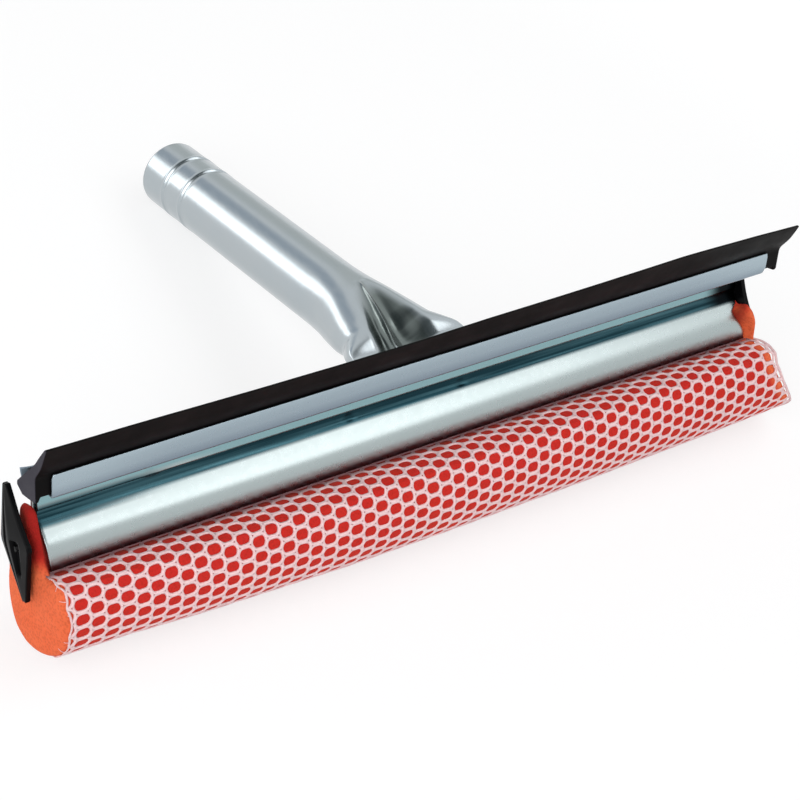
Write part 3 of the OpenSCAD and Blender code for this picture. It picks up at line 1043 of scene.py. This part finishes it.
def net_right(v):
    """Where the net is cut off on the right: it follows the foam's slant and reaches past it."""
    run, _, down, *_ = net_line(150)
    s = max(11.0, np.interp(v * run[-1] / NET_ROUND, run, down))
    return foam_right(s) + 1.1 + 0.25 * noise.noise(Vector((v * 0.21, 5.0, 1.5)))


def net_left(v):
    """Where the net is cut off on the left."""
    return -145.9 + 0.7 * noise.noise(Vector((v * 0.33, 2.0, 0.5)))


def yarn_end(vertices, faces, line, thick):
    """A loose end of yarn along a line of places, added to a mesh."""
    start = len(vertices)
    sides = 5
    for k, place in enumerate(line):
        ahead = unit(line[min(k + 1, len(line) - 1)] - line[max(k - 1, 0)])
        across = unit(np.cross(ahead, [0.3, 0.5, 0.8]))
        other = np.cross(ahead, across)
        size = thick * (1 - 0.55 * k / (len(line) - 1))
        for turn in np.arange(sides) * 2 * math.pi / sides:
            vertices.append(place + size * (math.cos(turn) * across + math.sin(turn) * other))
    for k in range(len(line) - 1):
        for j in range(sides):
            a, b = start + k * sides + j, start + k * sides + (j + 1) % sides
            faces.append((a, b, b + sides, a + sides))
    faces.append(tuple(range(start, start + sides))[::-1])
    faces.append(tuple(range(len(vertices) - sides, len(vertices))))


def shaken(point):
    """A place on the net, in distances along the blade and round the sponge, a little uneven as
    knitting is and drifting slowly along the rows."""
    u, v = point
    spot = Vector((u * 0.61 + 3.3, v * 0.83 - 4.1, 0.7))
    drift = noise.noise(Vector((u * 0.02, v * 0.06, 3.3)))
    along = 0.3 * noise.noise(spot) + 0.5 * drift
    return np.array([u + along, v + 0.24 * noise.noise(spot + Vector((9, 4, 2)))])


def held(point, left, right, hem):
    """The same place kept inside the net's cut edges by the distances given."""
    u, v = point
    u = np.clip(u, net_left(v) + left, net_right(v) - right)
    return np.array([u, np.clip(v, hem, NET_ROUND - hem)])


def opening(corners):
    """Outline of one opening: on the middle lines of the strands round it, with the corners cut
    and the middles added, then on the strands' inner edges."""
    bars = [abs(corners[k][1] - corners[(k + 1) % 6][1]) < 0.1 for k in range(6)]
    moved = [shaken(corner) for corner in corners]
    centre = sum(moved) / 6
    outer, widths = [], []
    for k, bar in enumerate(bars):
        a, b = moved[k], moved[(k + 1) % 6]
        cut = unit(b - a) * min(0.4, np.linalg.norm(b - a) * 0.25)
        half = BAR_HALF if bar else STRAND_HALF
        outer += [a + cut, (a + b) / 2, b - cut]
        widths += [half * 0.85 + 0.1, half, half * 0.85 + 0.1]
    inner = []
    for k, point in enumerate(outer):
        tangent = unit(outer[(k + 1) % 18] - outer[k - 1])
        normal = np.array([-tangent[1], tangent[0]])
        if normal @ (centre - point) < 0:
            normal = -normal
        inner.append(point + normal * widths[k])
    inner = np.array(inner)
    for _ in range(2):
        inner = 0.5 * inner + 0.25 * (np.roll(inner, 1, 0) + np.roll(inner, -1, 0))
    return outer, inner


def hem_loops(stand):
    """The strip along the right cut edge, where the strands' ends run together: outlines across it
    from under the front plate round to under the back one."""
    loops = []
    for v in np.arange(0.6, NET_ROUND - 0.5, 1.0):
        edge = net_right(v)
        line = [(edge - 0.9, 0.05), (edge - 0.8, stand + 0.04), (edge - 0.4, stand + 0.06)]
        line += [(edge - 0.05, stand + 0.04), (edge + 0.05, 0.1)]
        loops.append([net_surface(x, v, out) for x, out in line])
    return loops


def loose_ends():
    """Lines of the loose ends of yarn that stand out where the net was cut on the left."""
    lines = []
    for k in range(17):
        v = 4.0 + k * 5.3 + 2.5 * noise.noise(Vector((k * 1.7, 0.3, 8.1)))
        reach, curl = 0.7 + 1.3 * abs(math.sin(k * 2.3)) ** 3, math.sin(k * 1.9)
        line = []
        for t in np.linspace(0, 1, 6):
            x = net_left(v) + 0.5 - reach * t
            lift = 0.25 - rim_depth(x - FOAM_LEFT) + 0.3 * t * t
            line.append(net_surface(x, v + 1.0 * curl * t * t, lift))
        lines.append(line)
    return lines


def build_net():
    """A raschel net is a lattice of long six-sided holes: thick strands across, thin slanted ones
    between. Each hole is a ring of faces from the strands' middle lines down to the foam."""
    sizes = bpy.context.scene.squeegee_sizes
    pitch, rise, stand = sizes.net_pitch / MM, sizes.net_rise / MM, sizes.yarn / MM
    bar_end = (pitch**2 + rise**2) / (4 * pitch)
    bar_start = pitch / 2 - bar_end
    vertices, faces, knot_tone_and_shade, index = [], [], [], {}

    def vertex(key, point, out, least=0.0):
        if key not in index:
            index[key] = len(vertices)
            vertices.append(net_surface(point[0], point[1], out))
            # painted shade towards the plates' edges; knots and the hem get a small darker tone of
            # their own
            pressed = min(point[1], NET_ROUND - point[1])
            knot_tone_and_shade.append(max(least, float(smooth_step(6.0, 1.5, pressed))))
        return index[key]

    walls = {}
    # more rows and columns than fit; those outside the cut edges are left out
    rows, columns = range(int(NET_ROUND / (rise / 2)) + 2), range(-15, 17)
    for row, column in product(rows, columns):
        v = row * rise / 2
        u = column * pitch + NET_SHIFT + (pitch / 2 if row % 2 else 0.0)
        if u < net_left(v) - 1.0 or u > net_right(v) + 1.0:
            continue
        corners = [
            (u + bar_end, v),
            (u + bar_start, v + rise / 2),
            (u - bar_start, v + rise / 2),
            (u - bar_end, v),
            (u - bar_start, v - rise / 2),
            (u + bar_start, v - rise / 2),
        ]
        keys = [(round(a * 20), round(b * 20)) for a, b in corners]
        outer, inner = opening(corners)
        outer_keys = []
        for a, b in zip(keys, keys[1:] + keys[:1]):
            pair = (min(a, b), max(a, b))
            outer_keys += [("c", pair, a), ("m", pair), ("c", pair, b)]
        top, low, mid, rim = [], [], [], []
        for k in range(18):
            edge, hole = held(outer[k], 0.0, 0.0, 0.0), held(inner[k], 0.8, 1.1, 0.5)
            cell = (row, column, k)
            top.append(vertex(("t", outer_keys[k]), edge, stand, 0.0 if k % 3 == 1 else 0.12))
            low.append(vertex(("b", outer_keys[k]), edge, 0.02))
            mid.append(vertex(("n", cell), 0.5 * edge + 0.5 * hole, stand * 0.92))
            rim.append(vertex(("h", cell), hole, 0.02))
        for k in range(18):
            m = (k + 1) % 18
            faces.append((top[k], top[m], mid[m], mid[k]))
            faces.append((mid[k], mid[m], rim[m], rim[k]))
            faces.append((rim[k], rim[m], low[m], low[k]))
            side = (min(top[k], top[m]), max(top[k], top[m]))
            walls.setdefault(side, []).append((top[k], top[m], low[m], low[k]))
    # the cut edges are closed where no other opening shares the strand
    faces += [sides[0][::-1] for sides in walls.values() if len(sides) == 1]
    start = len(vertices)
    more, more_faces = loft(hem_loops(stand))
    vertices += list(more)
    faces += [tuple(start + k for k in face[::-1]) for face in more_faces]
    knot_tone_and_shade += [0.12] * len(more)
    for line in loose_ends():
        yarn_end(vertices, faces, line, 0.15)
    knot_tone_and_shade += [0.0] * (len(vertices) - len(knot_tone_and_shade))
    made = piece("net_sleeve", vertices, faces, knitted_yarn, "sponge", "net_cover")
    attribute(made, "knot_tone_and_shade", knot_tone_and_shade)


# ---------------------------------------------------------------- clips


def clip_axes(lean_degrees):
    """Which way is up and which is to the rear on a clip's plate."""
    lean = math.radians(lean_degrees)
    up = np.array([0.0, math.sin(lean), math.cos(lean)])
    return up, np.array([0.0, math.cos(lean), -math.sin(lean)])


def plate_thickness(u, high, tall):
    """Thickness of a clip's plate: u runs from -1 at its front edge to 1 at its rear edge. A ridge
    runs from tip to tip beside a narrow groove, and the lower half has a pocket with a boss."""
    share = abs(high) / tall
    places = [-1.0, -0.55, 0.0, 0.12, 0.36, 0.42, 0.5, 0.56, 1.0]
    ridge = np.interp(u, places, [0, 0.42, 0.92, 1, 0.86, 0.2, 0.2, 0.8, 0])
    thick = 1.75 + 1.2 * ridge * (1 - share**1.5)
    down = -high / tall
    inside = smooth_step(-0.08, -0.03, down) * smooth_step(0.56, 0.48, down)
    inside *= smooth_step(-0.46, -0.38, u) * smooth_step(0.06, -0.02, u)
    thick -= inside * (thick - 1.0)
    boss = math.hypot(u * 9 * (1 - share) + 1.6, high + 1.2)
    return max(thick, 2.4 * smooth_step(1.4, 1.0, boss))


def clip_piece(name, side, face_x, lean_degrees, body, node):
    """Moulded clip: a diamond plate with a ridge, a pocket and a boss, and a tongue behind it."""
    sizes = bpy.context.scene.squeegee_sizes
    tall, wide = sizes.clip_height / MM / 2, sizes.clip_width / MM / 2
    up, rear = clip_axes(lean_degrees)

    def at(out, back, high):
        return CLIP_POINT + np.array([face_x + side * out, 0, 0]) + back * rear + high * up

    heights = np.linspace(-tall, tall, 97)
    # extra places across fall on the ridge's crest and the groove's walls
    across = np.sort([*np.linspace(-1, 1, 33), 0.09, 0.15, 0.39, 0.41, 0.51, 0.54])
    inner, outer = (np.zeros((len(heights), len(across), 3)) for _ in range(2))
    for i, high in enumerate(heights):
        share = abs(high) / tall
        half = min(0.9 + (wide - 0.9) * (1 - share), wide - 0.35)
        # the front edge sweeps in between the middle and the upper tip
        sweep = 1 - 0.16 * math.sin(math.pi * share) * (high > 0)
        for j, u in enumerate(across):
            back = u * half * (sweep if u < 0 else 1.0)
            inner[i, j] = at(0.0, back, high)
            outer[i, j] = at(plate_thickness(u, high, tall), back, high)
    vertices, faces = slab(outer, inner, 0.28) if side > 0 else slab(inner, outer, 0.28)
    # the tongue at depths behind the plate: half its thickness and half its width
    steps = [(0, 1.9, 4.4), (0.25, 1.7, 4.1), (3.3, 1.7, 4.1), (3.7, 1.2, 4.0)]
    steps += [(20, 1.15, 3.9), (25.2, 0.9, 3.0), (26, 0.6, 2.3)]
    tongue = []
    for depth, thick, width in steps:
        box = [(-thick, -width), (thick, -width), (thick, width), (-thick, width)]
        tongue.append([at(0.05 - depth, b, h - 2.6) for b, h in rounded(box, 0.5, 3)])
    more, more_faces = loft(tongue)
    if side < 0:
        more_faces = [f[::-1] for f in more_faces]
    faces = faces + [tuple(len(vertices) + v for v in f) for f in more_faces]
    vertices = np.concatenate([vertices, more])
    made = piece(name, vertices, faces, moulded_plastic, body, node, flat=32)
    even_normals(made)


# ---------------------------------------------------------------- stage


def towards(azimuth, elevation):
    """Direction of a compass bearing from the socket's way, and a height above the horizon."""
    a, e = math.radians(azimuth), math.radians(elevation)
    return Vector((math.sin(a) * math.cos(e), math.cos(a) * math.cos(e), math.sin(e)))


def seen_by(tree, *kinds):
    """1 for rays of the kinds named, 0 for all others."""
    path = add(tree, "ShaderNodeLightPath")
    seen = path.outputs[f"Is {kinds[0]} Ray"]
    for kind in kinds[1:]:
        inputs = {0: seen, 1: path.outputs[f"Is {kind} Ray"]}
        seen = add(tree, "ShaderNodeMath", inputs, operation="MAXIMUM").outputs[0]
    return seen


def mixed(tree, share, first, last):
    """The shader between two, by a share from 0 to 1."""
    return add(tree, "ShaderNodeMixShader", {0: share, 1: first, 2: last}).outputs[0]


def background(tree, colour, strength):
    """Even light from all round."""
    return add(tree, "ShaderNodeBackground", {"Color": colour, "Strength": strength}).outputs[0]


def studio_world():
    """White surround for what the camera sees and what metal mirrors, with two pale screens
    beyond the socket and a grey ceiling; everything else gets plain even light."""
    world = bpy.data.worlds.new("Studio")
    world.use_nodes = True
    tree = world.node_tree
    tree.nodes.clear()
    direction = add(tree, "ShaderNodeTexCoord").outputs["Generated"]
    colour = linear("#F8FAFB")
    # bearing, height and tone of each screen; its tone is full inside one angle and fades to
    # nothing at the next
    for azimuth, elevation, inside, outside, tone in (
        (32, 6, 12, 26, "#DADEDC"),
        (-6, 24, 6, 15, "#BAC4CF"),
        (0, 88, 24, 40, "#565E60"),
    ):
        inputs = {0: direction, 1: towards(azimuth, elevation)}
        facing = add(tree, "ShaderNodeVectorMath", inputs, operation="DOT_PRODUCT")
        low, high = (math.cos(math.radians(angle)) for angle in (outside, inside))
        inputs = {0: facing.outputs["Value"], 1: low, 2: high}
        share = add(tree, "ShaderNodeMapRange", inputs, interpolation_type="SMOOTHSTEP")
        colour = blend(tree, share.outputs[0], colour, tone)
    white = (1, 1, 1, 1)
    mirrored = background(tree, colour, 1.0)
    lit = mixed(tree, seen_by(tree, "Glossy", "Transmission"), background(tree, white, 0.45), mirrored)
    whole = mixed(tree, seen_by(tree, "Camera"), lit, background(tree, white, 1.0))
    add(tree, "ShaderNodeOutputWorld", {"Surface": whole})
    bpy.context.scene.world = world


def floor_sheet():
    """White paper. Camera and mirror rays see it a little brighter, so that it reads as white
    and keeps a faint shadow."""
    mesh = bpy.data.meshes.new("floor")
    reach = 2.5
    corners = [(-reach, -reach, 0), (reach, -reach, 0), (reach, reach, 0), (-reach, reach, 0)]
    mesh.from_pydata(corners, [], [(0, 1, 2, 3)])
    made = bpy.data.objects.new("floor", mesh)
    bpy.context.scene.collection.objects.link(made)
    material = new_material("White_paper")
    tree = material.node_tree
    paper = add(tree, "ShaderNodeBsdfDiffuse", {"Color": linear("#F1F2F3")}).outputs[0]
    lift = add(tree, "ShaderNodeEmission", {"Color": (1, 1, 1, 1), "Strength": 1.14}).outputs[0]
    place = add(tree, "ShaderNodeTexCoord").outputs["Object"]
    away = add(tree, "ShaderNodeVectorMath", {0: place}, operation="LENGTH").outputs["Value"]
    # the lift grows away from the squeegee, out of its shadow's reach
    lifted = mixed(tree, ranged(tree, away, 0.25, 0.8, 0.62, 1.0), paper, lift)
    seen = seen_by(tree, "Camera", "Glossy", "Transmission")
    shaded(tree, "ShaderNodeMixShader", {0: seen, 1: paper, 2: lifted})
    mesh.materials.append(material)


def lamp(name, direction, distance, wide, tall, radiance, aim, tilt=0):
    """A softbox facing the squeegee, tilted in its own plane; radiance 1 looks as bright as white
    paper."""
    light = bpy.data.lights.new(name, "AREA")
    light.shape = "RECTANGLE"
    light.size, light.size_y = wide, tall
    light.energy = radiance * math.pi * wide * tall
    made = bpy.data.objects.new(name, light)
    made.location = aim + direction * distance
    turned = direction.to_track_quat("Z", "Y") @ Quaternion((0, 0, 1), math.radians(tilt))
    made.rotation_euler = turned.to_euler()
    bpy.context.scene.collection.objects.link(made)


def camera_at(azimuth, elevation, roll, distance, aim, lens):
    """Looks at the aim from a bearing and height in degrees; the distance is in metres."""
    data = bpy.data.cameras.new("Camera")
    data.lens, data.sensor_width = lens, 36
    made = bpy.data.objects.new("Camera", data)
    turn = (
        Matrix.Rotation(math.radians(azimuth), 4, "Z")
        @ Matrix.Rotation(math.radians(90 - elevation), 4, "X")
        @ Matrix.Rotation(math.radians(roll), 4, "Z")
    )
    made.matrix_world = Matrix.Translation(aim) @ turn @ Matrix.Translation((0, 0, distance))
    bpy.context.scene.collection.objects.link(made)
    bpy.context.scene.camera = made


# ---------------------------------------------------------------- operators


class SQUEEGEE_OT_socket(bpy.types.Operator):
    """Builds the rolled socket with its beads, flare and folded end"""

    bl_idname = "squeegee.socket"
    bl_label = "Handle socket"

    def execute(self, context):
        build_socket()
        return {"FINISHED"}


class SQUEEGEE_OT_sheets(bpy.types.Operator):
    """Folds the blade holder and the two plates that hold the sponge"""

    bl_idname = "squeegee.sheets"
    bl_label = "Folded sheets"

    def execute(self, context):
        blade_holder()
        front_plate()
        back_plate()
        return {"FINISHED"}


class SQUEEGEE_OT_blade(bpy.types.Operator):
    """Builds the moulded rubber blade"""

    bl_idname = "squeegee.blade"
    bl_label = "Rubber blade"

    def execute(self, context):
        build_blade()
        return {"FINISHED"}


class SQUEEGEE_OT_sponge(bpy.types.Operator):
    """Builds the foam sponge and the net knitted round it"""

    bl_idname = "squeegee.sponge"
    bl_label = "Sponge and net"

    def execute(self, context):
        build_foam()
        build_net()
        return {"FINISHED"}


class SQUEEGEE_OT_clips(bpy.types.Operator):
    """Builds the two moulded end clips"""

    bl_idname = "squeegee.clips"
    bl_label = "End clips"

    def execute(self, context):
        clip_piece("clip_left", -1, CLIP_LEFT_FACE, CLIP_LEFT_LEAN, "clip_left", "end_clip_left")
        clip_piece("clip_right", 1, CLIP_RIGHT_FACE, CLIP_RIGHT_LEAN, "clip_right", "end_clip_right")
        return {"FINISHED"}


class SQUEEGEE_OT_stage(bpy.types.Operator):
    """Sets the floor, the studio light and the camera"""

    bl_idname = "squeegee.stage"
    bl_label = "Stage"

    def execute(self, context):
        studio_world()
        floor_sheet()
        # the camera and the lamps face a place under the channel, near the middle of the head
        aim = head_origin + Vector((-0.0111, -0.0027, -0.00797))
        lamp("Low_strip", towards(-25, 6), 1.2, 0.66, 0.42, 1.6, aim, 27)
        lamp("Low_glow", towards(-44, 2), 1.3, 0.6, 0.56, 1.25, aim)
        lamp("Overhead", towards(109, 58), 1.3, 1.35, 0.7, 1.68, aim)
        lamp("Side_fill", towards(-118, 38), 1.2, 0.8, 0.8, 3.2, aim)
        camera_at(-46.774, 43.469, 18.419, 0.70007, aim, 95.404)
        context.scene.view_settings.view_transform = "Standard"
        return {"FINISHED"}


class SQUEEGEE_PT_panel(bpy.types.Panel):
    bl_label = "Squeegee"
    bl_idname = "SQUEEGEE_PT_panel"
    bl_space_type = "VIEW_3D"
    bl_region_type = "UI"
    bl_category = "Squeegee"

    def draw(self, context):
        for group in (context.scene.squeegee_sizes, context.scene.squeegee_colours):
            for name in group.bl_rna.properties.keys():
                if name not in {"rna_type", "name"}:
                    self.layout.prop(group, name)
        for operator in OPERATORS:
            self.layout.operator(operator.bl_idname)


OPERATORS = (
    SQUEEGEE_OT_socket,
    SQUEEGEE_OT_sheets,
    SQUEEGEE_OT_blade,
    SQUEEGEE_OT_sponge,
    SQUEEGEE_OT_clips,
    SQUEEGEE_OT_stage,
)
CLASSES = (SqueegeeSizes, SqueegeeColours, *OPERATORS, SQUEEGEE_PT_panel)


def register():
    for item in CLASSES:
        bpy.utils.register_class(item)
    bpy.types.Scene.squeegee_sizes = PointerProperty(type=SqueegeeSizes)
    bpy.types.Scene.squeegee_colours = PointerProperty(type=SqueegeeColours)


def unregister():
    del bpy.types.Scene.squeegee_sizes
    del bpy.types.Scene.squeegee_colours
    for item in reversed(CLASSES):
        bpy.utils.unregister_class(item)


def main():
    """Builds every piece and the stage."""
    register()
    bpy.ops.squeegee.socket()
    bpy.ops.squeegee.sheets()
    bpy.ops.squeegee.blade()
    bpy.ops.squeegee.sponge()
    bpy.ops.squeegee.clips()
    bpy.ops.squeegee.stage()


if __name__ == "__main__":
    main()
